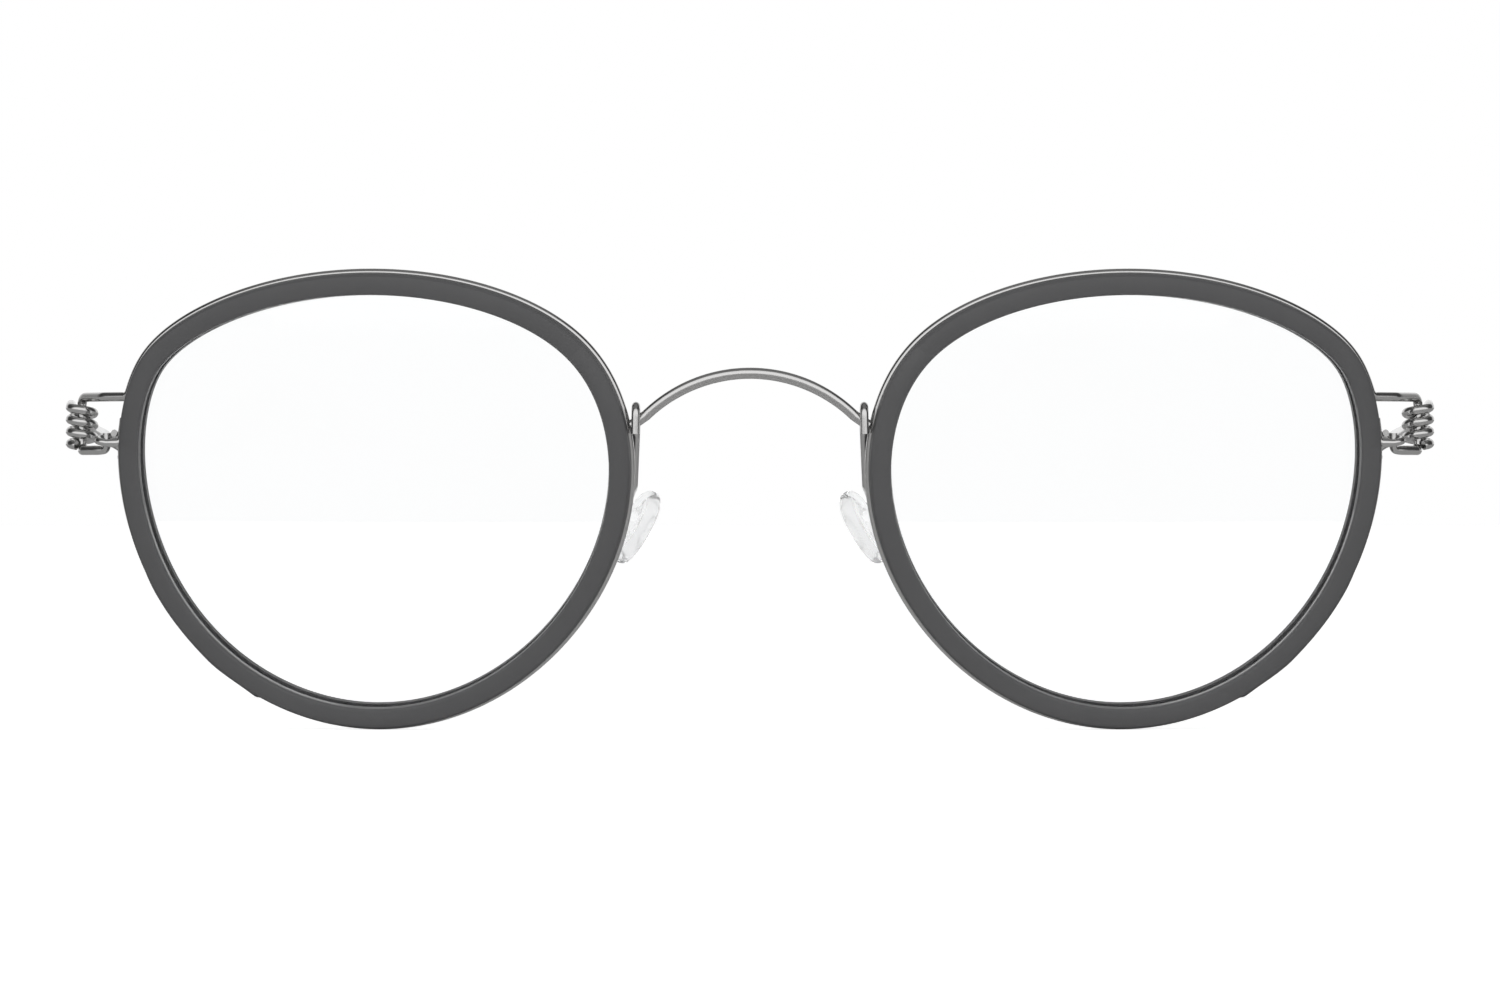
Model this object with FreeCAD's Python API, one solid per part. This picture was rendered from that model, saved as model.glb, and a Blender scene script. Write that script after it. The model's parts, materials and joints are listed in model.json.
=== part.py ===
import FreeCAD, Part
import math
import os

from FreeCAD import Placement, Rotation, Vector

# Round eyeglasses: clear lenses in slim grey acetate rims, each rim bound by one titanium wire whose
# ends make a screwless hinge. Millimetres. +X is the wearer's left, +Y runs back along the temples,
# +Z is up. The glasses stand on the bottoms of their rims and the tips of their temples at Z = 0, with
# X = Y = 0 in the middle of their outline. The wearer's left half is drawn; the right half mirrors it.

# Front
LENS_SPACING = 73.0     # between the lens centres
LENS_RISE = 0.4         # lens centre above the datum that all heights below are measured from
DATUM_Z = 22.189        # the datum above the table
FRONT_Y = -67.605       # front of the lenses
WRAP = 7.0              # each rim turned back at the temple, degrees
TILT = 10.0             # each rim's foot tucked in, degrees
BASE_RADIUS = 106.0     # front curve of the lenses

# Rim outline: its middle line is a circle with a few soft lobes: (lobes, swell, direction in degrees)
OUTLINE_RADIUS = 22.89
OUTLINE_LOBES = [(2, 1.32, 1.0), (3, 0.99, 31.7), (4, 0.28, 40.7), (5, 0.08, -26.4)]

# Rim section, outwards from the middle line and backwards from the front of the acetate
RIM_IN, RIM_OUT = -1.2, 0.9
RIM_DEPTH = 3.1
RIM_ROUND = 0.45
WIRE_LINE = 0.75        # the wire lies this far outside the middle line
LENS_SINK = 0.6         # lens behind the front of the acetate
LENS_THICK = 2.0
TONGUE_OUT = -0.75      # edge of the tongue that holds the lens
TONGUE_THICK = 1.0
SLIP = 0.02             # side clearance in the grooves

# Wires
WIRE = 0.9              # rim wire, hinge pin and coil
EYE_WIRE = 0.72         # drawn-down end that makes the eye
TIP_WIRE = 0.76         # end of the hook, standing in the eye
PAD_WIRE = 0.8
BRIDGE_TALL, BRIDGE_DEEP = 1.08, 0.92

# Bridge, left half, from the datum at the front of the lenses
BRIDGE_CROWN = Vector(0, -1.0, 12.06)
BRIDGE_FOOT = Vector(9.96, -0.25, 8.03)     # where the arch runs out into a straight end
BRIDGE_END = Vector(11.38, -0.25, 7.05)

# Left pad arm and nose pad
CROOK_TOP = 8.95        # centre of the wire over the bridge's end
CROOK_FOOT = 6.25       # cut end of the wire in front of the bridge
CROOK_X = 10.9
PAD_CENTRE = Vector(11.0, 8.3, -2.66)
PAD_SHORT = Vector(0.34, 0.94, 0).normalize()
PAD_LONG = Vector(0.44, -0.16, -0.884).normalize()
PAD_OUT = PAD_LONG.cross(PAD_SHORT).normalize()      # from the nose side towards the arm
PAD_LENGTH, PAD_WIDTH, PAD_THICK = 7.8, 6.0, 1.5
BOSS_RADIUS, BOSS_HEIGHT = 1.25, 3.3

# Hinge of the left temple
PIN = Vector(64.7, 10.5, 0)
ARM_Z = 9.9             # the arm from the rim to the top of the pin
ARM_BEND = Vector(62.3, 6.9, ARM_Z)
HOOK_Z = 4.75           # the hook under the coil
KNEE = Vector(PIN.x - 0.3, PIN.y - 1.8, HOOK_Z)
TURN_START, TURN_END = 19, 369      # outline angles where the wire joins and leaves the acetate
EYE = Vector(62.05, 6.95, 5.45)     # start of the eye's turn round the hook's tip
EYE_RADIUS = 0.85
EYE_TURN, EYE_RISE = 300, 0.95
COIL_RADIUS = 1.13
COIL_PITCH = 1.175
COIL_TOP = 8.97
COIL_SWEEP = 3 * 360 + 66   # degrees: three turns and the tail that meets the hook when open

# Temple
TEMPLE_LINE = [(66.0, 13.5, 9.25), (66.4, 20, 9.0), (66.9, 30, 8.75), (67.3, 45, 8.0), (67.4, 60, 7.1),
               (67.1, 75, 6.4), (66.6, 88, 5.4), (66.4, 98, 2.8), (66.05, 108, -2.8), (64.1, 119, -10.0),
               (59.6, 130, -16.9), (54.9, 137, -20.98)]
BLADE_TALL, BLADE_THICK = 1.5, 0.7
CORE = 1.15             # round end of the temple inside its sleeve
SLEEVE = 2.4
SLEEVE_START = 92.0     # how far back the sleeve begins


# ---- wires and outlines ----

def line(a, b):
    return Part.makeLine(a, b)


def bent(points, radii):
    """Straight runs joined by round bends, as wire is bent round a peg; one radius for each corner."""
    edges, here = [], points[0]
    for corner, after, radius in zip(points[1:-1], points[2:], radii):
        a, b = (here - corner).normalize(), (after - corner).normalize()
        half = a.getAngle(b) / 2
        reach = radius / math.tan(half)
        start, end = corner + a * reach, corner + b * reach
        middle = corner + (a + b).normalize() * (radius / math.sin(half) - radius)
        edges += [line(here, start), Part.Arc(start, middle, end).toShape()]
        here = end
    return edges + [line(here, points[-1])]


def smooth(points, start=None, end=None):
    """One smooth run through the points, leaving and arriving along the given directions."""
    curve = Part.BSplineCurve()
    if start:
        curve.interpolate(Points=points, InitialTangent=start, FinalTangent=end)
    else:
        curve.interpolate(Points=points)
    return curve.toShape()


def rod(edges, section):
    """A solid wire: the section swept along the edges."""
    solid = Part.Wire(edges).makePipeShell([Part.Wire(section)], True, False)
    if solid.Volume < 0:
        solid.reverse()
    return solid


def oval(centre, half_long, half_short):
    """A closed oval about a centre; the long half may equal the short one."""
    return Part.Wire(Part.Ellipse(centre + half_long * (1 + 1e-9), centre + half_short, centre).toShape())


def circle_at(edge, diameter):
    """The round section at the start of an edge."""
    first = edge.FirstParameter
    return Part.makeCircle(diameter / 2, edge.valueAt(first), edge.tangentAt(first))


def round_rod(edges, diameter):
    return rod(edges, circle_at(edges[0], diameter))


def single(shape):
    """The one solid that a cut or a fuse leaves."""
    return shape.Solids[0] if len(shape.Solids) == 1 else shape


# ---- rim outline, in the rim's own frame: x out to the temple, y back, z up ----

def outline_point(degrees, offset):
    """A point on the outline, moved outwards by the offset, from the outline's support function."""
    a = math.radians(degrees)
    support, slope = OUTLINE_RADIUS + offset, 0.0
    for lobes, swell, direction in OUTLINE_LOBES:
        phase = lobes * (a - math.radians(direction))
        support += swell * math.cos(phase)
        slope -= swell * lobes * math.sin(phase)
    return (support * math.cos(a) - slope * math.sin(a), support * math.sin(a) + slope * math.cos(a))


def prism(offset):
    """A straight bar along the lens axis with the outline as its section."""
    curve = Part.BSplineCurve()
    points = [Vector(x, -4, z) for x, z in (outline_point(5 * i, offset) for i in range(72))]
    curve.interpolate(Points=points, PeriodicFlag=True)
    return Part.Face(Part.Wire(curve.toShape())).extrude(Vector(0, 16, 0))


def dome(depth):
    """The ball whose surface lies this deep behind the front of the lens."""
    return Part.makeSphere(BASE_RADIUS - depth, Vector(0, BASE_RADIUS, 0))


def curved_plate(offset, front, back):
    """The outline as a plate between two depths, curved like the lens."""
    return single(prism(offset).common(dome(front)).cut(dome(back)))


def on_rim(degrees, offset, depth):
    """A point at a depth behind the front of the lens, moved into the glasses' frame."""
    x, z = outline_point(degrees, offset)
    y = BASE_RADIUS - math.sqrt((BASE_RADIUS - depth) ** 2 - x * x - z * z)
    return RIM_PLACE.multVec(Vector(x, y, z))


RIM_TURN = Rotation(Vector(0, 0, 1), WRAP) * Rotation(Vector(1, 0, 0), TILT)
RIM_PLACE = Placement(Vector(LENS_SPACING / 2, 0, LENS_RISE), RIM_TURN)
RIM_FRONT = -LENS_SINK
RIM_BACK = RIM_FRONT + RIM_DEPTH
RIM_MIDDLE = (RIM_FRONT + RIM_BACK) / 2


def make_lens():
    body = curved_plate(RIM_IN - SLIP, 0, LENS_THICK)
    middle = LENS_THICK / 2
    tongue = curved_plate(TONGUE_OUT, middle - TONGUE_THICK / 2, middle + TONGUE_THICK / 2)
    return single(body.fuse(tongue).removeSplitter())


def make_acetate():
    ring = curved_plate(RIM_OUT, RIM_FRONT, RIM_BACK).cut(prism(RIM_IN))
    ring = single(ring)
    ring = ring.makeFillet(RIM_ROUND, [e for e in ring.Edges if e.Length > 60])
    middle = LENS_THICK / 2
    half = TONGUE_THICK / 2 + SLIP
    groove = curved_plate(TONGUE_OUT, middle - half, middle + half)
    half = WIRE / 2 + SLIP
    channel = curved_plate(RIM_OUT + 2, RIM_MIDDLE - half, RIM_MIDDLE + half)
    channel = channel.cut(prism(WIRE_LINE - WIRE / 2))
    return single(ring.cut(groove).cut(channel))


# ---- rim wire: hook, hinge pin, arm, the turn round the acetate, and the eye that holds the hook ----

def around_rim():
    """The wire's own path in the channel of the acetate."""
    angles = [TURN_START + (TURN_END - TURN_START) * i / 60 for i in range(61)]
    return [on_rim(a, WIRE_LINE, RIM_MIDDLE) for a in angles]


def make_rim_wire():
    turn = around_rim()
    around = smooth(turn)
    leave_top = around.tangentAt(around.FirstParameter) * -1
    leave_foot = around.tangentAt(around.LastParameter)
    top_bend = turn[0] + leave_top * ((turn[0].z - ARM_Z) / -leave_top.z)
    foot_bend = turn[-1] + leave_foot * ((EYE.z - turn[-1].z) / leave_foot.z)

    hook_tip = Vector(EYE.x, EYE.y, HOOK_Z)
    hook_end = hook_tip + (hook_tip - KNEE).normalize() * 0.35
    pin_foot, pin_top = Vector(PIN.x, PIN.y, HOOK_Z), Vector(PIN.x, PIN.y, ARM_Z)
    hook_and_arm = bent(
        [hook_end, KNEE, pin_foot, pin_top, ARM_BEND, top_bend, turn[0]],
        [0.6, 0.7, 0.7, 1.2, 0.7],
    )
    wire = round_rod(hook_and_arm + [around], WIRE)

    angles = [math.radians(270 + EYE_TURN * i / 20) for i in range(21)]
    eye = [EYE + Vector(EYE_RADIUS * math.cos(a), EYE_RADIUS * math.sin(a), EYE_RISE * i / 20)
           for i, a in enumerate(angles)]
    approach = bent([turn[-1] - leave_foot * 0.3, foot_bend, eye[0]], [0.5])
    eye_wire = round_rod(approach + [smooth(eye)], EYE_WIRE)
    tip = Part.makeCylinder(TIP_WIRE / 2, 1.9, hook_tip - Vector(0, 0, 0.2))
    return single(wire.fuse(eye_wire).fuse(tip))


# ---- bridge and nose pads ----

def make_bridge(rim_wire_left, rim_wire_right):
    """An arch of flattened wire, its two ends cut to saddle on the rim wires."""
    right_end = Vector(-BRIDGE_END.x, BRIDGE_END.y, BRIDGE_END.z)
    right_foot = Vector(-BRIDGE_FOOT.x, BRIDGE_FOOT.y, BRIDGE_FOOT.z)
    arch = Part.Arc(right_foot, BRIDGE_CROWN, BRIDGE_FOOT).toShape()
    edges = [line(right_end, right_foot), arch, line(BRIDGE_FOOT, BRIDGE_END)]
    across = (right_foot - right_end).cross(Vector(0, 1, 0)).normalize()
    wire = rod(edges, oval(right_end, across * (BRIDGE_TALL / 2), Vector(0, BRIDGE_DEEP / 2, 0)))
    return single(wire.cut(rim_wire_left).cut(rim_wire_right))


def make_pad_arm():
    """A cane of wire: its crook straddles the bridge's end, its stem runs back to the pad."""
    half = (BRIDGE_DEEP + PAD_WIRE) / 2
    front, back = BRIDGE_FOOT.y - half, BRIDGE_FOOT.y + half
    crook = [Vector(CROOK_X + 0.05, front, CROOK_FOOT), Vector(CROOK_X, front, CROOK_TOP),
             Vector(CROOK_X, back, CROOK_TOP)]
    stem = [Vector(CROOK_X, back, 6.7), Vector(CROOK_X + 0.3, 5.6, 1.2),
            PAD_CENTRE + PAD_OUT * 1.8]
    path = bent(crook + stem, [half - 0.01, half - 0.01, 1.5, 1.5])
    return round_rod(path, PAD_WIRE)


def make_pad(arm):
    """A soft leaf with rounded edges and a boss on its back, moulded round the arm's end."""
    turn = Rotation(PAD_LONG, PAD_SHORT * -1, PAD_OUT, "ZXY")
    place = Placement(PAD_CENTRE, turn)
    leaf = Part.Ellipse(Vector(0, 0, 0), PAD_LENGTH / 2, PAD_WIDTH / 2).toShape()
    leaf = Part.Face(Part.Wire(leaf)).extrude(Vector(0, 0, PAD_THICK))
    leaf = leaf.makeFillet(0.7, [e for e in leaf.Edges if e.Length > 15])
    leaf.translate(Vector(0, 0, -PAD_THICK / 2))
    boss = Part.makeCylinder(BOSS_RADIUS, BOSS_HEIGHT)
    rim = [e for e in boss.Edges if e.Closed and abs(e.CenterOfMass.z - BOSS_HEIGHT) < 1e-6]
    boss = boss.makeFillet(0.5, rim)
    pad = leaf.fuse(boss)
    pad.Placement = place
    return single(pad.cut(arm))


# ---- temple: coil, blade and sleeve ----

def ellipse_at(curve, t, tall, thick):
    """An upright oval section square to the curve."""
    centre, along = curve.valueAt(t), curve.tangentAt(t)
    side = along.cross(Vector(0, 0, 1)).normalize()
    up = side.cross(along).normalize()
    return oval(centre, up * (tall / 2), side * (thick / 2))


def blend(t, start, end):
    """0 before start, 1 after end, smooth between."""
    u = min(max((t - start) / (end - start), 0), 1)
    return u * u * (3 - 2 * u)


def coil_point(degrees):
    """Down the coil from where the temple enters it, on the outer side of the pin."""
    a = math.radians(degrees)
    height = COIL_TOP - COIL_PITCH * degrees / 360
    return PIN + Vector(COIL_RADIUS * math.cos(a), -COIL_RADIUS * math.sin(a), height)


def coil_heading(degrees):
    a = math.radians(degrees)
    return Vector(-math.sin(a), -math.cos(a), -COIL_PITCH / (2 * math.pi * COIL_RADIUS))


def temple_curve():
    points = [coil_point(0)] + [Vector(*p) for p in TEMPLE_LINE]
    return smooth(points, coil_heading(0) * -1, points[-1] - points[-2])


def along(curve, s):
    """The parameter a fraction s of the way along the curve."""
    return curve.FirstParameter + (curve.LastParameter - curve.FirstParameter) * s


def lofted(curve, stations, size):
    """Oval sections at stations along the curve, skinned; size gives (tall, thick) at a station."""
    return Part.makeLoft([ellipse_at(curve, along(curve, s), *size(s)) for s in stations], True, False)


def blade_size(s):
    """Grown out of the coil's lead, flat and upright along the side of the head, round in the sleeve."""
    root = WIRE + 0.04 - 0.24 * (1 - blend(s, 0.02, 0.03))
    flat = blend(s, 0.035, 0.16) * (1 - blend(s, 0.62, 0.74))
    core = (CORE - WIRE) * blend(s, 0.62, 0.74)
    return root + (BLADE_TALL - WIRE) * flat + core, root + (BLADE_THICK - WIRE) * flat + core


def make_temple():
    """Coil, blade and the core inside the sleeve, one wire flattened along its middle."""
    curve = temple_curve()
    lead = [curve.valueAt(along(curve, 0.032 * (1 - i / 8))) for i in range(8)]
    coil = [coil_point(COIL_SWEEP * i / 80) for i in range(81)]
    coil = round_rod([smooth(lead + coil)], WIRE)
    stations = [0.02, 0.0235, 0.0265, 0.03, 0.035] + [i / 40 for i in range(2, 39)]
    return single(lofted(curve, stations, blade_size).fuse(coil))


def make_sleeve(temple):
    """A soft sleeve over the end of the temple, rounded at its tip."""
    curve = temple_curve()
    start = min((i / 500 for i in range(501)),
                key=lambda s: abs(curve.valueAt(along(curve, s)).y - SLEEVE_START))
    path = Part.Edge(curve.Curve, along(curve, start), curve.LastParameter)
    tip = Part.makeSphere(SLEEVE / 2, curve.valueAt(curve.LastParameter))
    return single(round_rod([path], SLEEVE).fuse(tip).cut(temple))


# ---- the whole object ----

def mirrored(shape):
    return shape.mirror(Vector(0, 0, 0), Vector(1, 0, 0))


def save(name, shape):
    shape = shape.copy()
    shape.translate(Vector(0, FRONT_Y, DATUM_Z))
    shape.exportStep("parts/%s.step" % name)


def main():
    os.makedirs("parts", exist_ok=True)
    lens, acetate = make_lens(), make_acetate()
    for shape in (lens, acetate):
        shape.Placement = RIM_PLACE
    rim_wire = make_rim_wire()
    pad_arm = make_pad_arm()
    temple = make_temple()
    pieces = {
        "lens": lens,
        "acetate_rim": acetate,
        "rim_wire": rim_wire,
        "pad_arm": pad_arm,
        "nose_pad": make_pad(pad_arm),
        "temple": temple,
        "temple_sleeve": make_sleeve(temple),
    }
    for name, shape in pieces.items():
        save(name + "_left", shape)
        save(name + "_right", mirrored(shape))
    save("bridge", make_bridge(rim_wire, mirrored(rim_wire)))


main()
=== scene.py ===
import json
import math

import bmesh
import bpy
from mathutils import Matrix, Quaternion, Vector

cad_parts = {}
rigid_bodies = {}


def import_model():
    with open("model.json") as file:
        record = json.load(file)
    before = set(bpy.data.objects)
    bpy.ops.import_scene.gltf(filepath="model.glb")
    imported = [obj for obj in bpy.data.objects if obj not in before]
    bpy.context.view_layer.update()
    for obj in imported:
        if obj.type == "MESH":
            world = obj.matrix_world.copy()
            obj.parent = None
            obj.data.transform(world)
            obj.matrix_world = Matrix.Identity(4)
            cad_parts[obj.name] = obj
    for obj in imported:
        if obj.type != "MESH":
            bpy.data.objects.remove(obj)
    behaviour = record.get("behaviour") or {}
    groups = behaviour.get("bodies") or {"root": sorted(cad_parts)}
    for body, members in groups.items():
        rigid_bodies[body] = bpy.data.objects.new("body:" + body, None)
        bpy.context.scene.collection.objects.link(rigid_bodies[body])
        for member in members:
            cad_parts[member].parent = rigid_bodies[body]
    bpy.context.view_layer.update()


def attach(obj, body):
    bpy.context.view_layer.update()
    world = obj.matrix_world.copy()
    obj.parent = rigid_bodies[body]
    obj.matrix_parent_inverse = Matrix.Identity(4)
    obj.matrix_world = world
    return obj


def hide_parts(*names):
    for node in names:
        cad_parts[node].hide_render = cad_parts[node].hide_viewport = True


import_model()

# Round eyeglasses. Shapes are worked out in millimetres from the datum of the front, for the wearer's
# left half, and written into the meshes in metres; the right half is a mirror image.

MM = 0.001
FRONT_Y, DATUM_Z = -67.605, 22.189

# ---- sizes ----

LENS_X, LENS_Z = 36.5, 0.4
WRAP, TILT = math.radians(7.0), math.radians(10.0)
BASE_RADIUS = 106.0
OUTLINE_RADIUS = 22.89
OUTLINE_LOBES = [(2, 1.32, 1.0), (3, 0.99, 31.7), (4, 0.28, 40.7), (5, 0.08, -26.4)]
RIM_OUT, RIM_ROUND = 0.9, 0.45
WALL_FRONT, WALL_LEAN = -1.08, 0.4  # the inner wall of the acetate
LENS_SINK, RIM_DEPTH = 0.6, 3.1
RIM_MIDDLE = RIM_DEPTH / 2 - LENS_SINK
WIRE_LINE, WIRE = 0.75, 0.9
CHANNEL_FLOOR, CHANNEL_HALF = WIRE_LINE - WIRE / 2 - 0.02, WIRE / 2 + 0.03
GROOVE_FLOOR, GROOVE_HALF = -0.73, 0.53
LENS_THICK, LENS_EDGE = 2.0, -1.17
TONGUE_EDGE, TONGUE_HALF = -0.76, 0.5

PIN = Vector((64.7, 10.5, 0))
ARM_Z, HOOK_Z = 9.9, 4.75
EYE = Vector((62.05, 6.95, 5.45))
EYE_RADIUS, EYE_TURN, EYE_RISE = 0.85, 300, 0.95
TURN_START, TURN_END = 19, 369
COIL_RADIUS, COIL_PITCH, COIL_TOP, COIL_SWEEP = 1.13, 1.175, 8.97, 3 * 360 + 66

BRIDGE_CROWN = Vector((0, -1.0, 12.06))
BRIDGE_FOOT = Vector((9.96, -0.25, 8.03))
BRIDGE_END = Vector((11.38, -0.25, 7.05))
BRIDGE_THICK, BRIDGE_TALL = 0.92, 1.08
CROOK_X, CROOK_TOP, CROOK_FOOT = 10.9, 8.95, 6.25
PAD_WIRE = 0.8
PAD_CENTRE = Vector((11.0, 8.3, -2.66))
PAD_SHORT = Vector((0.34, 0.94, 0)).normalized()
PAD_LONG = Vector((0.44, -0.16, -0.884)).normalized()
PAD_OUT = PAD_LONG.cross(PAD_SHORT).normalized()

TEMPLE_LINE = [(66.0, 13.5, 9.25), (66.4, 20, 9.0), (66.9, 30, 8.75), (67.3, 45, 8.0), (67.4, 60, 7.1),
               (67.1, 75, 6.4), (66.6, 88, 5.4), (66.4, 98, 2.8), (66.05, 108, -2.8), (64.1, 119, -10.0),
               (59.6, 130, -16.9), (54.9, 137, -20.98)]
BLADE_THICK, BLADE_TALL = 0.7, 1.48
CORE_SWELL = 0.2
SLEEVE, SLEEVE_MOUTH, SLEEVE_LIP = 2.4, 1.9, 1.62
SLEEVE_START, SLEEVE_SWELL = 92.0, 26.0

CAMERA_BACK = 0.8


# ---- outlines and paths, in millimetres ----

def outline_point(degrees, offset):
    """A point on the rim's outline, moved outwards by the offset, and the outward direction there."""
    a = math.radians(degrees)
    support, slope = OUTLINE_RADIUS + offset, 0.0
    for lobes, swell, direction in OUTLINE_LOBES:
        phase = lobes * (a - math.radians(direction))
        support += swell * math.cos(phase)
        slope -= swell * lobes * math.sin(phase)
    c, s = math.cos(a), math.sin(a)
    return support * c - slope * s, support * s + slope * c, Vector((c, 0, s))


RIM_TURN = Matrix.Rotation(WRAP, 3, "Z") @ Matrix.Rotation(TILT, 3, "X")
RIM_ORIGIN = Vector((LENS_X, 0, LENS_Z))


def from_rim(point):
    return RIM_ORIGIN + RIM_TURN @ point


def dome_y(x, z, depth):
    """How far back a point of the dome lies, this deep behind the front of the lens."""
    return BASE_RADIUS - math.sqrt((BASE_RADIUS - depth) ** 2 - x * x - z * z)


def rim_station(degrees, offset, depth):
    """(centre, outward along the dome, back along the lens axis) on the rim."""
    x, z, out = outline_point(degrees, offset)
    y = dome_y(x, z, depth)
    slope = (x * out.x + z * out.z) / (BASE_RADIUS - depth)
    outward = RIM_TURN @ (out + Vector((0, slope, 0)))
    return from_rim(Vector((x, y, z))), outward, RIM_TURN @ Vector((0, 1, 0))


def bent(points, radii, step=0.12):
    """Points along straight runs joined by round bends, as wire is bent round a peg."""
    path, here = [], points[0]

    def run(a, b):
        n = max(1, int((b - a).length / (step * 3)))
        path.extend(a.lerp(b, i / n) for i in range(n))

    for corner, after, radius in zip(points[1:-1], points[2:], radii):
        a, b = (here - corner).normalized(), (after - corner).normalized()
        half = a.angle(b) / 2
        reach = radius / math.tan(half)
        start, centre = corner + a * reach, corner + (a + b).normalized() * (radius / math.sin(half))
        run(here, start)
        axis, sweep = (start - centre).cross(a * -1).normalized(), math.pi - 2 * half
        n = max(3, int(radius * sweep / step))
        path.extend(centre + Quaternion(axis, sweep * i / n) @ (start - centre) for i in range(n))
        here = corner + b * reach
    run(here, points[-1])
    return path + [points[-1]]


def through(points, step, start=None):
    """A smooth run through the points (a cubic with the chord's own slopes), at even steps."""
    slopes = []
    for i, p in enumerate(points):
        before, after = points[max(i - 1, 0)], points[min(i + 1, len(points) - 1)]
        slopes.append((after - before) / ((after - p).length + (p - before).length))
    if start:
        slopes[0] = start.normalized()
    path = []
    for p, q, m, n in zip(points, points[1:], slopes, slopes[1:]):
        span = (q - p).length
        count = max(2, int(span / step))
        for i in range(count):
            t = i / count
            path.append(p * (1 + 2 * t) * (1 - t) ** 2 + m * span * t * (1 - t) ** 2
                        + q * t * t * (3 - 2 * t) + n * span * t * t * (t - 1))
    return path + [points[-1]]


def ease(t, start, end):
    u = min(max((t - start) / (end - start), 0.0), 1.0)
    return u * u * (3 - 2 * u)


def lengths(path):
    total = [0.0]
    for a, b in zip(path, path[1:]):
        total.append(total[-1] + (b - a).length)
    return total


def stations(path, upright=None):
    """(centre, across, upright) along a path; upright is held near a direction, or carried untwisted."""
    result, carried = [], upright or Vector((0, 0, 1))
    for i, p in enumerate(path):
        along = (path[min(i + 1, len(path) - 1)] - path[max(i - 1, 0)]).normalized()
        up = upright if upright else carried
        up = up - along * up.dot(along)
        if up.length < 1e-4:
            up = along.orthogonal()
        up.normalize()
        carried = up
        result.append((p, along.cross(up).normalized(), up))
    return result


# ---- the sweep, in Geometry Nodes ----

def link(tree, a, b):
    tree.links.new(a, b)


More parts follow.
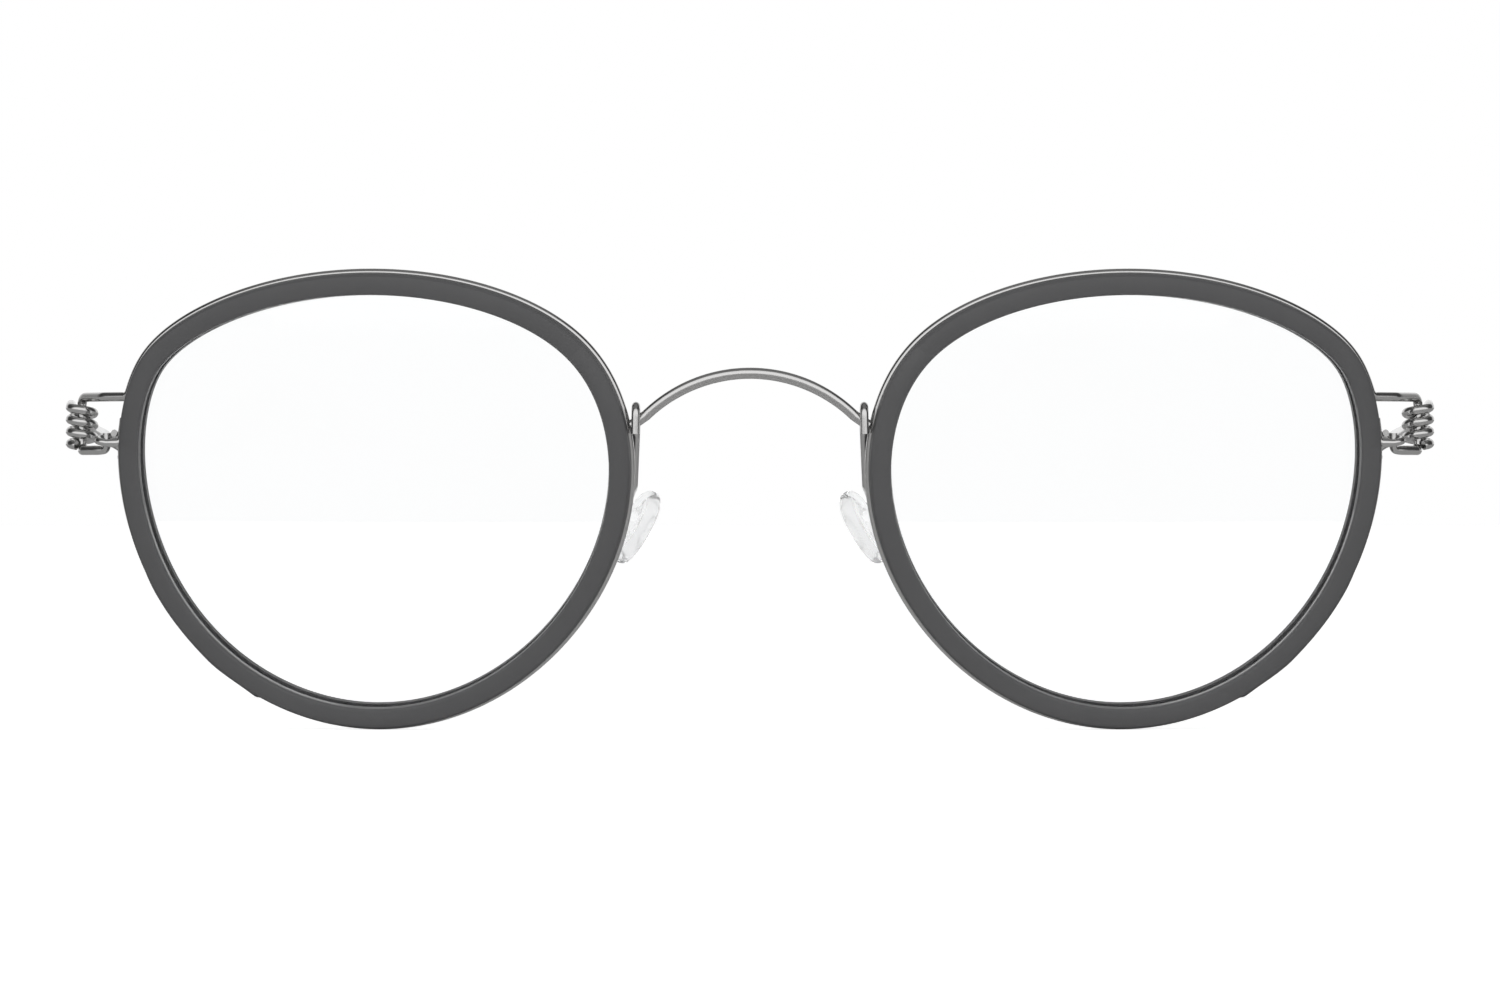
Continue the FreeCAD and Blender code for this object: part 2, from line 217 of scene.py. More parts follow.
def sweep_tree():
    """Sweeps a section along a path. Each station holds its own across and upright directions, a gauge
    that scales both, and how far the wire is rolled flat there, from 0 to 1."""
    tree = bpy.data.node_groups.new("swept_wire", "GeometryNodeTree")
    face = tree.interface
    face.new_socket("Path", in_out="INPUT", socket_type="NodeSocketGeometry")
    face.new_socket("Section", in_out="INPUT", socket_type="NodeSocketObject")
    for name in ("Width", "Height", "Flat Width", "Flat Height"):
        face.new_socket(name, in_out="INPUT", socket_type="NodeSocketFloat")
    face.new_socket("Finish", in_out="INPUT", socket_type="NodeSocketMaterial")
    face.new_socket("Swept", in_out="OUTPUT", socket_type="NodeSocketGeometry")
    node = tree.nodes.new
    inputs, output = node("NodeGroupInput"), node("NodeGroupOutput")

    def capture(geometry, kind, field):
        grab = node("GeometryNodeCaptureAttribute")
        grab.capture_items.new(kind, "Kept")
        link(tree, geometry, grab.inputs["Geometry"])
        link(tree, field, grab.inputs["Kept"])
        return grab.outputs["Geometry"], grab.outputs["Kept"]

    def stored(name, kind):
        read = node("GeometryNodeInputNamedAttribute")
        read.data_type = kind
        read.inputs["Name"].default_value = name
        return read.outputs["Attribute"]

    def maths(operation, a, b):
        m = node("ShaderNodeMath")
        m.operation = operation
        for socket, value in zip(m.inputs, (a, b)):
            if isinstance(value, (int, float)):
                socket.default_value = value
            else:
                link(tree, value, socket)
        return m.outputs[0]

    def vectors(operation, a, b=None, scale=None):
        m = node("ShaderNodeVectorMath")
        m.operation = operation
        link(tree, a, m.inputs[0])
        if b is not None:
            link(tree, b, m.inputs[1])
        if scale is not None:
            link(tree, scale, m.inputs["Scale"])
        return m.outputs[0]

    def size(round_name, flat_name):
        mix = node("ShaderNodeMix")
        mix.data_type = "FLOAT"
        link(tree, stored("flat", "FLOAT"), mix.inputs[0])
        link(tree, inputs.outputs[round_name], mix.inputs[2])
        link(tree, inputs.outputs[flat_name], mix.inputs[3])
        return maths("MULTIPLY", mix.outputs[0], stored("gauge", "FLOAT"))

    to_curve = node("GeometryNodeMeshToCurve")
    link(tree, inputs.outputs["Path"], to_curve.inputs[0])
    position = node("GeometryNodeInputPosition")
    spline = node("GeometryNodeSplineParameter")
    path, centre = capture(to_curve.outputs[0], "VECTOR", position.outputs[0])
    path, length = capture(path, "FLOAT", spline.outputs["Length"])

    section_source = node("GeometryNodeObjectInfo")
    link(tree, inputs.outputs["Section"], section_source.inputs["Object"])
    section_curve = node("GeometryNodeMeshToCurve")
    link(tree, section_source.outputs["Geometry"], section_curve.inputs[0])
    section, place = capture(section_curve.outputs[0], "VECTOR", position.outputs[0])

    sweep = node("GeometryNodeCurveToMesh")
    link(tree, path, sweep.inputs["Curve"])
    link(tree, section, sweep.inputs["Profile Curve"])
    sweep.inputs["Fill Caps"].default_value = True

    split = node("ShaderNodeSeparateXYZ")
    link(tree, place, split.inputs[0])
    across = maths("MULTIPLY", split.outputs[0], size("Width", "Flat Width"))
    upward = maths("MULTIPLY", split.outputs[1], size("Height", "Flat Height"))
    moved = vectors("ADD", vectors("SCALE", stored("across", "FLOAT_VECTOR"), scale=across),
                    vectors("SCALE", stored("upright", "FLOAT_VECTOR"), scale=upward))
    moved = vectors("ADD", centre, moved)
    shape = node("GeometryNodeSetPosition")
    link(tree, sweep.outputs[0], shape.inputs["Geometry"])
    link(tree, moved, shape.inputs["Position"])

    along = node("ShaderNodeCombineXYZ")
    link(tree, across, along.inputs[0])
    link(tree, upward, along.inputs[1])
    link(tree, length, along.inputs[2])
    keep = node("GeometryNodeStoreNamedAttribute")
    keep.data_type, keep.domain = "FLOAT_VECTOR", "POINT"
    keep.inputs["Name"].default_value = "drawn"
    link(tree, shape.outputs[0], keep.inputs["Geometry"])
    link(tree, along.outputs[0], keep.inputs["Value"])

    real = node("GeometryNodeRealizeInstances")
    link(tree, keep.outputs[0], real.inputs[0])
    finish = node("GeometryNodeSetMaterial")
    link(tree, real.outputs[0], finish.inputs["Geometry"])
    link(tree, inputs.outputs["Finish"], finish.inputs["Material"])
    link(tree, finish.outputs[0], output.inputs[0])
    return tree


def placed(name, data):
    """A new object in the scene, at the origin."""
    made = bpy.data.objects.new(name, data)
    bpy.context.scene.collection.objects.link(made)
    return made


def set_input(modifier, name, value):
    for item in modifier.node_group.interface.items_tree:
        if item.name == name and item.in_out == "INPUT":
            modifier[item.identifier] = value


def section_object(points):
    """A closed outline in the plane, for the sweep to read."""
    mesh = bpy.data.meshes.new("section")
    n = len(points)
    mesh.from_pydata([(x, y, 0) for x, y in points], [(i, (i + 1) % n) for i in range(n)], [])
    return placed("section", mesh)


def round_section(count):
    return section_object([(math.cos(2 * math.pi * i / count) / 2, math.sin(2 * math.pi * i / count) / 2)
                           for i in range(count)])


def world_point(v, side):
    return Vector((v.x * side, v.y + FRONT_Y, v.z + DATUM_Z)) * MM


def turned(v, side):
    return Vector((v.x * side, v.y, v.z))


def swept(name, side, material, section, sizes, path, flat=None, gauge=None, closed=False, sharp=38):
    """A piece swept along stations (centre, across, upright). sizes: width, height, flat width and
    flat height."""
    mesh = bpy.data.meshes.new(name + "_path")
    n = len(path)
    edges = [(i, i + 1) for i in range(n - 1)] + ([(n - 1, 0)] if closed else [])
    mesh.from_pydata([world_point(p, side) for p, _, _ in path], edges, [])
    for title, column in (("across", 1), ("upright", 2)):
        layer = mesh.attributes.new(title, "FLOAT_VECTOR", "POINT")
        for i, station in enumerate(path):
            layer.data[i].vector = turned(station[column], side)
    for title, values, default in (("flat", flat, 0.0), ("gauge", gauge, 1.0)):
        layer = mesh.attributes.new(title, "FLOAT", "POINT")
        for i in range(n):
            layer.data[i].value = values[i] if values else default
    holder = placed(name + "_path", mesh)
    modifier = holder.modifiers.new("sweep", "NODES")
    modifier.node_group = SWEEP
    set_input(modifier, "Section", section)
    for title, value in zip(("Width", "Height", "Flat Width", "Flat Height"), sizes):
        set_input(modifier, title, value * MM)
    set_input(modifier, "Finish", material)
    bpy.context.view_layer.update()
    evaluated = holder.evaluated_get(bpy.context.evaluated_depsgraph_get())
    result = bpy.data.meshes.new_from_object(evaluated)
    bpy.data.objects.remove(holder)
    return piece(name, result, material, sharp)


def piece(name, mesh, material, sharp=38):
    """A finished object: doubles merged, faces outward, smooth except over sharp edges."""
    shape = bmesh.new()
    shape.from_mesh(mesh)
    bmesh.ops.remove_doubles(shape, verts=shape.verts, dist=1e-7)
    bmesh.ops.recalc_face_normals(shape, faces=shape.faces)
    for f in shape.faces:
        f.smooth = True
    for e in shape.edges:
        e.smooth = not (e.is_manifold and e.calc_face_angle(0) > math.radians(sharp))
    shape.to_mesh(mesh)
    shape.free()
    for title in ("across", "upright", "flat", "gauge"):
        if title in mesh.attributes:
            mesh.attributes.remove(mesh.attributes[title])
    mesh.name = name
    mesh.materials.clear()
    mesh.materials.append(material)
    return placed(name, mesh)


# ---- finishes ----

def group(name, ins, outs):
    """A shader node group with named inputs (name, kind, value) and outputs (name, kind)."""
    tree = bpy.data.node_groups.new(name, "ShaderNodeTree")
    for title, kind, value in ins:
        socket = tree.interface.new_socket(title, in_out="INPUT", socket_type="NodeSocket" + kind)
        if value is not None:
            socket.default_value = value
    for title, kind in outs:
        tree.interface.new_socket(title, in_out="OUTPUT", socket_type="NodeSocket" + kind)
    return tree, tree.nodes.new("NodeGroupInput"), tree.nodes.new("NodeGroupOutput")


def add(tree, kind, **values):
    """A node with properties and input values; a value that is a socket is linked."""
    made = tree.nodes.new(kind)
    for title, value in values.items():
        if title in made.bl_rna.properties:
            setattr(made, title, value)
            continue
        numbered = title[0] == "i" and title[1:].isdigit()
        socket = made.inputs[int(title[1:]) if numbered else title]
        if isinstance(value, bpy.types.NodeSocket):
            tree.links.new(value, socket)
        else:
            socket.default_value = value
    return made


def fine_scratches():
    """Hairline polishing scratches, drawn out along one direction of the given coordinates."""
    tree, i, o = group("fine_scratches", [("Coordinates", "Vector", None), ("Stretch", "Vector", (1, 1, 1)),
                                          ("Amount", "Float", 0.5)], [("Mask", "Float")])
    grain = add(tree, "ShaderNodeVectorMath", operation="MULTIPLY", i0=i.outputs[0], i1=i.outputs[1])
    fine = add(tree, "ShaderNodeTexNoise", Vector=grain.outputs[0], Scale=1.0, Detail=3.0, Roughness=0.65)
    ramp = add(tree, "ShaderNodeMapRange", i0=fine.outputs[0], i1=0.35, i2=0.72)
    scaled = add(tree, "ShaderNodeMath", operation="MULTIPLY", i0=ramp.outputs[0], i1=i.outputs[2])
    tree.links.new(scaled.outputs[0], o.inputs[0])
    return tree


def handling_marks():
    """Soft smudges and a little dust, as on a pair of glasses that is wiped now and then."""
    tree, i, o = group("handling_marks", [("Coordinates", "Vector", None), ("Smudge", "Float", 0.5),
                                          ("Dust", "Float", 0.5)], [("Mask", "Float")])
    cloud = add(tree, "ShaderNodeTexNoise", Vector=i.outputs[0], Scale=95.0, Detail=4.0, Distortion=0.6)
    cloud = add(tree, "ShaderNodeMapRange", i0=cloud.outputs[0], i1=0.48, i2=0.75)
    cloud = add(tree, "ShaderNodeMath", operation="MULTIPLY", i0=cloud.outputs[0], i1=i.outputs[1])
    specks = add(tree, "ShaderNodeTexVoronoi", Vector=i.outputs[0], Scale=900.0)
    specks = add(tree, "ShaderNodeMapRange", i0=specks.outputs["Distance"], i1=0.09, i2=0.03)
    specks = add(tree, "ShaderNodeMath", operation="MULTIPLY", i0=specks.outputs[0], i1=i.outputs[2])
    both = add(tree, "ShaderNodeMath", operation="MAXIMUM", i0=cloud.outputs[0], i1=specks.outputs[0])
    tree.links.new(both.outputs[0], o.inputs[0])
    return tree


def material(name):
    made = bpy.data.materials.new(name)
    made.use_nodes = True
    tree = made.node_tree
    return made, tree, tree.nodes["Principled BSDF"]


def tinted(tree, shader, mask, plain, marked):
    """The base colour: plain where the mask is 0, marked where it is 1."""
    mix = add(tree, "ShaderNodeMix", data_type="RGBA", i0=mask, i6=(*plain, 1), i7=(*marked, 1))
    tree.links.new(mix.outputs[2], shader.inputs["Base Color"])


def ranged(tree, mask, low, high):
    return add(tree, "ShaderNodeMapRange", i0=mask, i3=low, i4=high).outputs[0]


def bumped(tree, shader, height, distance):
    bump = add(tree, "ShaderNodeBump", Height=height, Strength=1.0, Distance=distance)
    tree.links.new(bump.outputs[0], shader.inputs["Normal"])


def object_place(tree):
    return tree.nodes.new("ShaderNodeTexCoord").outputs["Object"]


def titanium(name, tone, roughness):
    """Polished drawn wire: fine lines along its length, and faint marks from handling."""
    made, tree, shader = material(name)
    drawn = add(tree, "ShaderNodeAttribute", attribute_name="drawn").outputs["Vector"]
    lines = add(tree, "ShaderNodeGroup", node_tree=SCRATCHES, Coordinates=drawn, Amount=1.0,
                Stretch=(26000, 26000, 900)).outputs[0]
    marks = add(tree, "ShaderNodeGroup", node_tree=MARKS, Coordinates=object_place(tree), Smudge=0.7,
                Dust=0.4).outputs[0]
    shader.inputs["Metallic"].default_value = 1.0
    tinted(tree, shader, lines, [t * 0.93 for t in tone], tone)
    rough = add(tree, "ShaderNodeMath", operation="ADD", i0=ranged(tree, lines, roughness, roughness + 0.07),
                i1=ranged(tree, marks, 0.0, 0.08)).outputs[0]
    tree.links.new(rough, shader.inputs["Roughness"])
    bumped(tree, shader, lines, 0.0000015)
    return made


def acetate():
    """Tumble-polished grey acetate: barely clouded colour, a soft sheen and hairline scratches."""
    made, tree, shader = material("grey_acetate")
    place = object_place(tree)
    cloud = add(tree, "ShaderNodeTexNoise", Vector=place, Scale=210.0, Detail=5.0, Roughness=0.6).outputs[0]
    lines = add(tree, "ShaderNodeGroup", node_tree=SCRATCHES, Coordinates=place, Amount=1.0,
                Stretch=(2600, 9000, 3400)).outputs[0]
    marks = add(tree, "ShaderNodeGroup", node_tree=MARKS, Coordinates=place, Smudge=0.6, Dust=0.8).outputs[0]
    tinted(tree, shader, cloud, (0.086, 0.086, 0.088), (0.100, 0.100, 0.102))
    rough = add(tree, "ShaderNodeMath", operation="ADD", i0=ranged(tree, lines, 0.36, 0.46),
                i1=ranged(tree, marks, 0.0, 0.12)).outputs[0]
    tree.links.new(rough, shader.inputs["Roughness"])
    shader.inputs["IOR"].default_value = 1.49
    shader.inputs["Specular IOR Level"].default_value = 0.3
    bumped(tree, shader, lines, 0.000003)
    return made


def clear_lens():
    """Clear plastic lens, wiped but not spotless."""
    made, tree, shader = material("clear_lens")
    marks = add(tree, "ShaderNodeGroup", node_tree=MARKS, Coordinates=object_place(tree), Smudge=0.5,
                Dust=0.2).outputs[0]
    tinted(tree, shader, marks, (0.985, 0.99, 0.992), (0.975, 0.98, 0.98))
    tree.links.new(ranged(tree, marks, 0.0, 0.035), shader.inputs["Roughness"])
    shader.inputs["Transmission Weight"].default_value = 1.0
    shader.inputs["IOR"].default_value = 1.18
    return made


def silicone():
    """Soft clear silicone, slightly milky, with a matt skin."""
    made, tree, shader = material("clear_silicone")
    place = object_place(tree)
    cloud = add(tree, "ShaderNodeTexNoise", Vector=place, Scale=420.0, Detail=3.0).outputs[0]
    skin = add(tree, "ShaderNodeTexNoise", Vector=place, Scale=5200.0, Detail=2.0).outputs[0]
    tinted(tree, shader, cloud, (0.93, 0.935, 0.94), (0.97, 0.975, 0.975))
    tree.links.new(ranged(tree, skin, 0.10, 0.18), shader.inputs["Roughness"])
    shader.inputs["Transmission Weight"].default_value = 0.9
    shader.inputs["IOR"].default_value = 1.18
    bumped(tree, shader, skin, 0.0000008)
    return made


def sleeve_rubber():
    """Dark grey soft sleeve with a fine moulded skin, a little paler in soft smudges and specks of dust."""
    made, tree, shader = material("sleeve_rubber")
    place = object_place(tree)
    skin = add(tree, "ShaderNodeTexNoise", Vector=place, Scale=3800.0, Detail=3.0, Roughness=0.6).outputs[0]
    marks = add(tree, "ShaderNodeGroup", node_tree=MARKS, Coordinates=place, Smudge=0.9, Dust=0.9).outputs[0]
    tinted(tree, shader, marks, (0.048, 0.048, 0.050), (0.078, 0.078, 0.080))
    tree.links.new(ranged(tree, skin, 0.48, 0.66), shader.inputs["Roughness"])
    bumped(tree, shader, skin, 0.000012)
    return made


SCRATCHES, MARKS = fine_scratches(), handling_marks()
TITANIUM = titanium("polished_titanium", (0.66, 0.655, 0.65), 0.13)
ACETATE, LENS, SILICONE, RUBBER = acetate(), clear_lens(), silicone(), sleeve_rubber()
SWEEP = sweep_tree()
ROUND = round_section(24)


# ---- the pieces ----

def make_rim(side, name):
    """The acetate: a rounded section, with a channel outside for the wire and a groove inside for
    the lens."""
    half, corner, flats = RIM_DEPTH / 2, RIM_ROUND, 8
    outline = []

    def wall_in(y):
        """The inner wall, which leans a little towards the lens as it goes back."""
        return WALL_FRONT - WALL_LEAN * (y + half) / RIM_DEPTH

    def wall_out(y):
        return RIM_OUT

    def rounded(cx, cy, start):
        angles = [math.radians(start + 90 * i / flats) for i in range(flats + 1)]
        outline.extend((cx + corner * math.cos(a), cy + corner * math.sin(a)) for a in angles)

    def notch(wall, floor, centre, reach):
        """A channel cut in from a wall down to its floor; reach is signed, the way the outline is walked."""
        low, high = centre - reach, centre + reach
        outline.extend(((wall(low), low), (floor, low), (floor, high), (wall(high), high)))

    # the front edges are broken by two narrow flats, the back edges are full rounds
    outline.extend(((RIM_OUT - 0.26, -half), (RIM_OUT - 0.06, -half + 0.14), (RIM_OUT, -half + 0.34)))
    notch(wall_out, CHANNEL_FLOOR, 0.0, CHANNEL_HALF)
    rounded(RIM_OUT - corner, half - corner, 0)
    rounded(wall_in(half) + corner, half - corner, 90)
    notch(wall_in, GROOVE_FLOOR, LENS_THICK / 2 - RIM_MIDDLE, -GROOVE_HALF)
    outline.extend(((wall_in(0.3 - half), 0.3 - half), (-0.98, 0.1 - half), (-0.76, -half)))
    section = section_object(outline)
    count = 300
    path = [rim_station(360 * i / count, 0.0, RIM_MIDDLE) for i in range(count)]
    return swept("rim_" + name, side, ACETATE, section, (1, 1, 1, 1), path, closed=True, sharp=30)


def skin(shape, rings):
    """Faces between rings that follow one another."""
    for a, b in zip(rings, rings[1:]):
        for i in range(len(a)):
            j = (i + 1) % len(a)
            shape.faces.new((a[i], a[j], b[j], b[i]))


def make_lens(side, name):
    """A curved plate with a thinner tongue round its edge, in rings from its middle to its edge."""
    shape = bmesh.new()
    steps, count, middle = 180, 12, LENS_THICK / 2
    front = [(ring / count, LENS_EDGE, 0.0) for ring in range(1, count + 1)]
    edge = [(1.0, LENS_EDGE, middle - TONGUE_HALF), (1.0, TONGUE_EDGE, middle - TONGUE_HALF),
            (1.0, TONGUE_EDGE, middle + TONGUE_HALF), (1.0, LENS_EDGE, middle + TONGUE_HALF)]
    back = [(share, offset, LENS_THICK) for share, offset, _ in reversed(front)]

    def vertex(x, z, depth):
        return shape.verts.new(world_point(from_rim(Vector((x, dome_y(x, z, depth), z))), side))

    rings = []
    for share, offset, depth in front + edge + back:
        outline = [outline_point(360 * i / steps, offset) for i in range(steps)]
        rings.append([vertex(x * share, z * share, depth) for x, z, _ in outline])
    skin(shape, rings)
    for ring, depth in ((rings[0], 0.0), (rings[-1], LENS_THICK)):
        pole = vertex(0, 0, depth)
        for i in range(steps):
            shape.faces.new((ring[i], ring[(i + 1) % steps], pole))
    mesh = bpy.data.meshes.new("lens_" + name)
    shape.to_mesh(mesh)
    shape.free()
    return piece("clear_lens_" + name, mesh, LENS)


def make_rim_wire(side, name):
    """Hook, hinge pin, arm, the turn round the acetate, and the eye: one wire."""
    count = 420
    degrees = [TURN_START + (TURN_END - TURN_START) * i / count for i in range(count + 1)]
    turn = [rim_station(a, WIRE_LINE, RIM_MIDDLE)[0] for a in degrees]
    leave_top, leave_foot = (turn[0] - turn[1]).normalized(), (turn[-1] - turn[-2]).normalized()
    top_bend = turn[0] + leave_top * ((turn[0].z - ARM_Z) / -leave_top.z)
    foot_bend = turn[-1] + leave_foot * ((EYE.z - turn[-1].z) / leave_foot.z)
    tip = Vector((EYE.x, EYE.y, HOOK_Z))
    knee = Vector((PIN.x - 0.3, PIN.y - 1.8, HOOK_Z))
    hinge = bent([Vector((tip.x, tip.y, HOOK_Z + 1.65)), tip, knee, Vector((PIN.x, PIN.y, HOOK_Z)),
                  Vector((PIN.x, PIN.y, ARM_Z)), Vector((62.3, 6.9, ARM_Z)), top_bend, turn[0]],
                 [0.42, 0.6, 0.7, 0.7, 1.2, 0.7])
    angles = [math.radians(270 + EYE_TURN * i / 90) for i in range(91)]
    eye = [EYE + Vector((EYE_RADIUS * math.cos(a), EYE_RADIUS * math.sin(a), EYE_RISE * i / 90))
           for i, a in enumerate(angles)]
    end = bent([turn[-1], foot_bend, eye[0]], [0.5])
    path = hinge[:-1] + turn[:-1] + end[:-1] + eye
    run = lengths(path)
    gauge = [1 - 0.16 * (1 - ease(d, 1.6, 2.6)) - 0.2 * ease(d, run[-1] - 5.6, run[-1] - 4.4) for d in run]
    return swept("rim_wire_" + name + "_piece", side, TITANIUM, ROUND, (WIRE, WIRE, WIRE, WIRE),
                 stations(path), gauge=gauge)


def make_bridge():
    """An arch of wire rolled a little flat, its ends running in to the rim wires."""
    def other(v):
        return Vector((-v.x, v.y, v.z))
    chord, rise = BRIDGE_FOOT.x, BRIDGE_CROWN.z - BRIDGE_FOOT.z
    radius = (chord ** 2 + rise ** 2) / (2 * rise)
    top = math.asin(chord / radius)
    arch = []
    count = 96
    for i in range(count + 1):
        a = top * (2 * i / count - 1)
        z = BRIDGE_CROWN.z - radius * (1 - math.cos(a))
        forward = (z - BRIDGE_FOOT.z) / rise
        y = BRIDGE_FOOT.y + (BRIDGE_CROWN.y - BRIDGE_FOOT.y) * forward
        arch.append(Vector((radius * math.sin(a), y, z)))
    end = [BRIDGE_FOOT.lerp(BRIDGE_END, i / 8) for i in range(1, 9)]
    path = [other(p) for p in end[::-1]] + arch + end
    run = lengths(path)
    gauge = [0.95 + 0.05 * ease(min(d, run[-1] - d), 1.0, 8.0) for d in run]
    return swept("bridge_arch", 1, TITANIUM, ROUND, (BRIDGE_THICK, BRIDGE_TALL) * 2,
                 stations(path, Vector((0, 0, 1))), gauge=gauge)


def make_pad_arm(side, name):
    """A cane of wire: its crook straddles the bridge's end, its stem runs back to the pad."""
    half = (BRIDGE_THICK + PAD_WIRE) / 2
    front, back = BRIDGE_FOOT.y - half, BRIDGE_FOOT.y + half
    crook = [Vector((CROOK_X + 0.05, front, CROOK_FOOT)), Vector((CROOK_X, front, CROOK_TOP)),
             Vector((CROOK_X, back, CROOK_TOP))]
    stem = [Vector((CROOK_X, back, 6.7)), Vector((CROOK_X + 0.3, 5.6, 1.2)), PAD_CENTRE + PAD_OUT * 1.8]
    path = bent(crook + stem, [half - 0.01, half - 0.01, 1.5, 1.5], step=0.08)
    return swept("pad_arm_" + name + "_piece", side, TITANIUM, ROUND, (PAD_WIRE,) * 4, stations(path))


def make_pad(side, name):
    """A soft leaf with full round edges, slightly dished, and a boss on its back round the arm's end."""
    shape = bmesh.new()
    around, rings, taper = 72, [], 0.10

    def ring(share, lift, long, wide):
        row = []
        for i in range(around):
            a = 2 * math.pi * i / around
            u, v = math.cos(a) * long * share, math.sin(a) * wide * share
            v *= 1 - taper * math.cos(a)
            p = PAD_CENTRE + PAD_LONG * u + PAD_SHORT * v + PAD_OUT * lift
            row.append(shape.verts.new(world_point(p, side)))
        rings.append(row)

    long, wide, thick = 3.85, 2.9, 0.74
    round_share, flats = 0.62 / 3.8, 12
    for share in (0.15, 0.35, 0.55, 0.72, 0.84):
        ring(share, -thick + 0.28 * (1 - share ** 2), long, wide)
    for i in range(flats + 1):
        a = math.pi * (i / flats - 0.5)
        ring(1 + (math.cos(a) - 1) * round_share, math.sin(a) * thick, long, wide)
    for share in (0.78, 0.6, 0.46):
        ring(share, thick - 0.05, long, wide)
    boss = ((1.35, 0.9), (1.25, 1.15), (1.2, 2.2), (1.16, 2.7), (1.02, 3.02), (0.75, 3.22), (0.4, 3.28))
    for radius, lift in boss:
        ring(1.0, lift, radius, radius)
    skin(shape, rings)
    shape.faces.new(rings[0])
    shape.faces.new(rings[-1])
    mesh = bpy.data.meshes.new("pad_" + name)
    shape.to_mesh(mesh)
    shape.free()
    return piece("pad_leaf_" + name, mesh, SILICONE, sharp=60)


def temple_path(step):
    """From the coil's lead to the tip; it leaves the coil along the coil's own slope."""
    lead = Vector((0, 1, COIL_PITCH / (2 * math.pi * COIL_RADIUS)))
    start = PIN + Vector((COIL_RADIUS, 0, COIL_TOP))
    return through([start] + [Vector(p) for p in TEMPLE_LINE], step, lead)


def make_temple(side, name):
    """Coil, blade and core: one wire, rolled flat along the side of the head."""
    coil, count = [], 300
    for i in range(count, 0, -1):
        d = COIL_SWEEP * i / count
        a = math.radians(d)
        coil.append(PIN + Vector((COIL_RADIUS * math.cos(a), -COIL_RADIUS * math.sin(a),
                                  COIL_TOP - COIL_PITCH * d / 360)))
    blade = temple_path(0.5)
    run = lengths(blade)
    blade = [p for p, d in zip(blade, run) if d < run[-1] * 0.97]
    path = coil + blade
    s = [0.0] * len(coil) + [d / run[-1] for d in run[:len(blade)]]
    flat = [ease(d, 0.02, 0.15) * (1 - ease(d, 0.62, 0.72)) for d in s]
    gauge = [1 + CORE_SWELL * ease(d, 0.62, 0.72) for d in s]
    line = stations(path)[:len(coil)] + stations(path, Vector((0, 0, 1)))[len(coil):]
    return swept("temple_wire_" + name, side, TITANIUM, ROUND, (WIRE, WIRE, BLADE_THICK, BLADE_TALL),
                 line, flat=flat, gauge=gauge)


def make_sleeve(side, name):
    """A soft sleeve: a rolled mouth, a slow swell, and a round end."""
    path = temple_path(0.4)
    path = [(p, d) for p, d in zip(path, lengths(path)) if p.y >= SLEEVE_START]
    (mouth, first), (second, _), tip = path[0], path[1], path[-1][0]
    tail = (tip - path[-2][0]).normalized()
    points, widths = [], []
    rolls, flats = 6, 12
    for i in range(rolls + 1):
        points.append(mouth.lerp(second, i * 0.12))
        widths.append(SLEEVE_LIP + (SLEEVE_MOUTH - SLEEVE_LIP) * math.sin(math.pi / 2 * i / rolls))
    for p, d in path[1:]:
        points.append(p)
        widths.append(SLEEVE - (SLEEVE - SLEEVE_MOUTH) * (1 - ease(d, first, first + SLEEVE_SWELL)))
    for i in range(1, flats + 1):
        a = math.pi / 2 * i / flats
        points.append(tip + tail * (SLEEVE / 2) * math.sin(a))
        widths.append(max(SLEEVE * math.cos(a), 0.05))
    return swept("ear_sleeve_" + name, side, RUBBER, ROUND, (1, 1, 1, 1),
                 stations(points, Vector((0, 0, 1))), gauge=widths, sharp=80)


def settle(made, body, node):
    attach(made, body)
    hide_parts(node)


for side, name in ((1, "left"), (-1, "right")):
    settle(make_rim(side, name), "front", "acetate_rim_" + name)
    settle(make_lens(side, name), "front", "lens_" + name)
    settle(make_rim_wire(side, name), "front", "rim_wire_" + name)
    settle(make_pad_arm(side, name), "front", "pad_arm_" + name)
    settle(make_pad(side, name), "front", "nose_pad_" + name)
    settle(make_temple(side, name), "temple_arm_" + name, "temple_" + name)
    settle(make_sleeve(side, name), "temple_arm_" + name, "temple_sleeve_" + name)
settle(make_bridge(), "front", "bridge")
for spare in [o for o in bpy.data.objects if o.name.startswith("section")]:
    bpy.data.objects.remove(spare)


# ---- studio ----

def seen_directly(tree):
    """1 for what is seen straight or through a lens, 0 for what only lights and reflects."""
    path = add(tree, "ShaderNodeLightPath")
    return add(tree, "ShaderNodeMath", operation="MAXIMUM", i0=path.outputs["Is Camera Ray"],
               i1=path.outputs["Is Transmission Ray"]).outputs[0]


def make_floor():
    mesh = bpy.data.meshes.new("studio_floor")
    mesh.from_pydata([(-4, -4, 0), (4, -4, 0), (4, 6, 0), (-4, 6, 0)], [], [(0, 1, 2, 3)])
    floor = placed("studio_floor", mesh)
    made, tree, shader = material("pale_floor")
    shader.inputs["Base Color"].default_value = (0.8, 0.8, 0.8, 1)
    shader.inputs["Roughness"].default_value = 0.9
    glow = add(tree, "ShaderNodeMath", operation="MULTIPLY", i0=seen_directly(tree), i1=0.72).outputs[0]
    shader.inputs["Emission Color"].default_value = (1, 1, 1, 1)
    tree.links.new(glow, shader.inputs["Emission Strength"])
    mesh.materials.append(made)


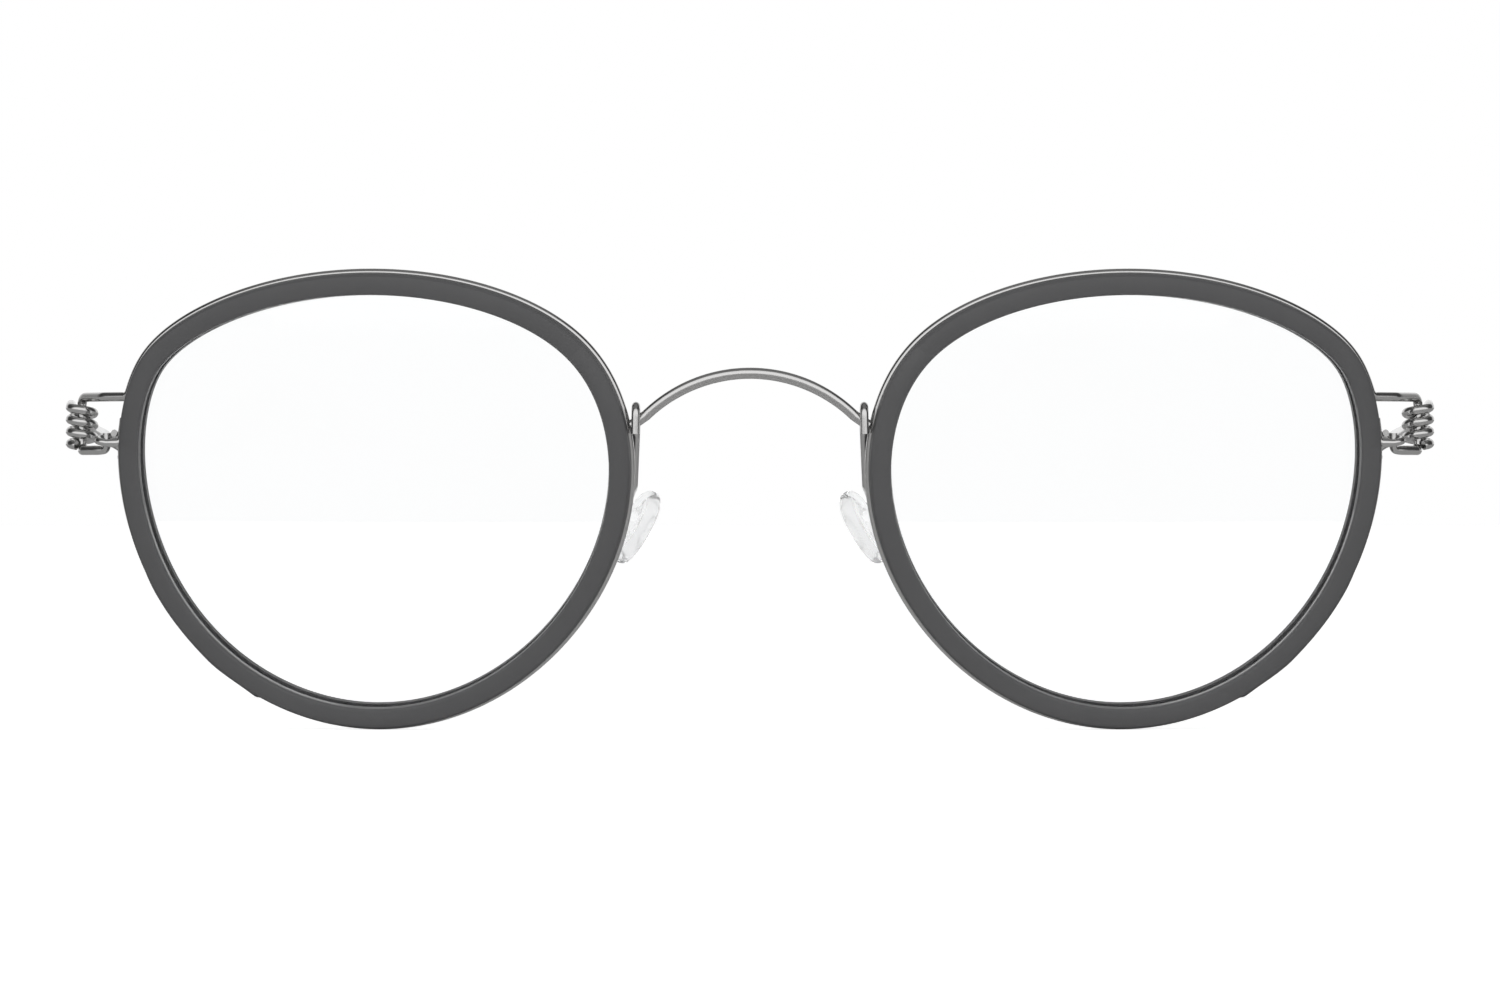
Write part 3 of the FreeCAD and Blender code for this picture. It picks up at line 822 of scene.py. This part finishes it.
def make_world():
    """White ground for the eye; for reflections a bright front, a dark surround and a white back."""
    world = bpy.data.worlds.new("studio")
    bpy.context.scene.world = world
    world.use_nodes = True
    tree = world.node_tree
    back = tree.nodes["Background"]
    direction = add(tree, "ShaderNodeTexCoord").outputs["Generated"]
    split = add(tree, "ShaderNodeSeparateXYZ", i0=direction)
    wide = add(tree, "ShaderNodeVectorMath", operation="MULTIPLY", i0=direction, i1=(0.7, 1.0, 1.4))
    wide = add(tree, "ShaderNodeVectorMath", operation="NORMALIZE", i0=wide.outputs[0])
    back_share = add(tree, "ShaderNodeSeparateXYZ", i0=wide.outputs[0]).outputs[1]
    ramp = add(tree, "ShaderNodeValToRGB", i0=add(tree, "ShaderNodeMapRange", i0=back_share, i1=-1.0,
                                                  i2=1.0).outputs[0])
    stops = [(0.0, 1.15), (0.22, 1.1), (0.33, 0.06), (0.76, 0.05), (0.86, 0.8), (1.0, 1.0)]
    ramp.color_ramp.elements.remove(ramp.color_ramp.elements[1])
    for index, (place, value) in enumerate(stops):
        stop = ramp.color_ramp.elements[0] if index == 0 else ramp.color_ramp.elements.new(place)
        stop.position, stop.color = place, (value, value, value, 1)
    over = add(tree, "ShaderNodeMapRange", i0=split.outputs[2], i1=0.72, i2=0.88)
    lit = add(tree, "ShaderNodeMix", data_type="RGBA", i0=over.outputs[0], i6=ramp.outputs[0],
              i7=(0.2, 0.2, 0.2, 1))
    final = add(tree, "ShaderNodeMix", data_type="RGBA", i0=seen_directly(tree), i6=lit.outputs[2],
                i7=(1, 1, 1, 1))
    tree.links.new(final.outputs[2], back.inputs["Color"])


def make_light(name, place, aim, width, power):
    data = bpy.data.lights.new(name, "AREA")
    data.shape, data.size, data.energy = "DISK", width, power
    lamp = placed(name, data)
    lamp.location = place
    lamp.rotation_euler = (Vector(aim) - Vector(place)).to_track_quat("-Z", "Y").to_euler()
    lamp.visible_glossy = False


make_floor()
make_world()
make_light("front_soft", (0.0, -1.6, 0.25), (0, FRONT_Y * MM, 0.02), 1.8, 12)

camera = placed("camera", bpy.data.cameras.new("camera"))
camera.location = (0, FRONT_Y * MM - CAMERA_BACK, DATUM_Z * MM)
camera.rotation_euler = (math.pi / 2, 0, 0)
camera.data.lens, camera.data.sensor_width = 200.8, 36
camera.data.clip_start = 0.02
bpy.context.scene.camera = camera
bpy.context.scene.view_settings.view_transform = "Standard"
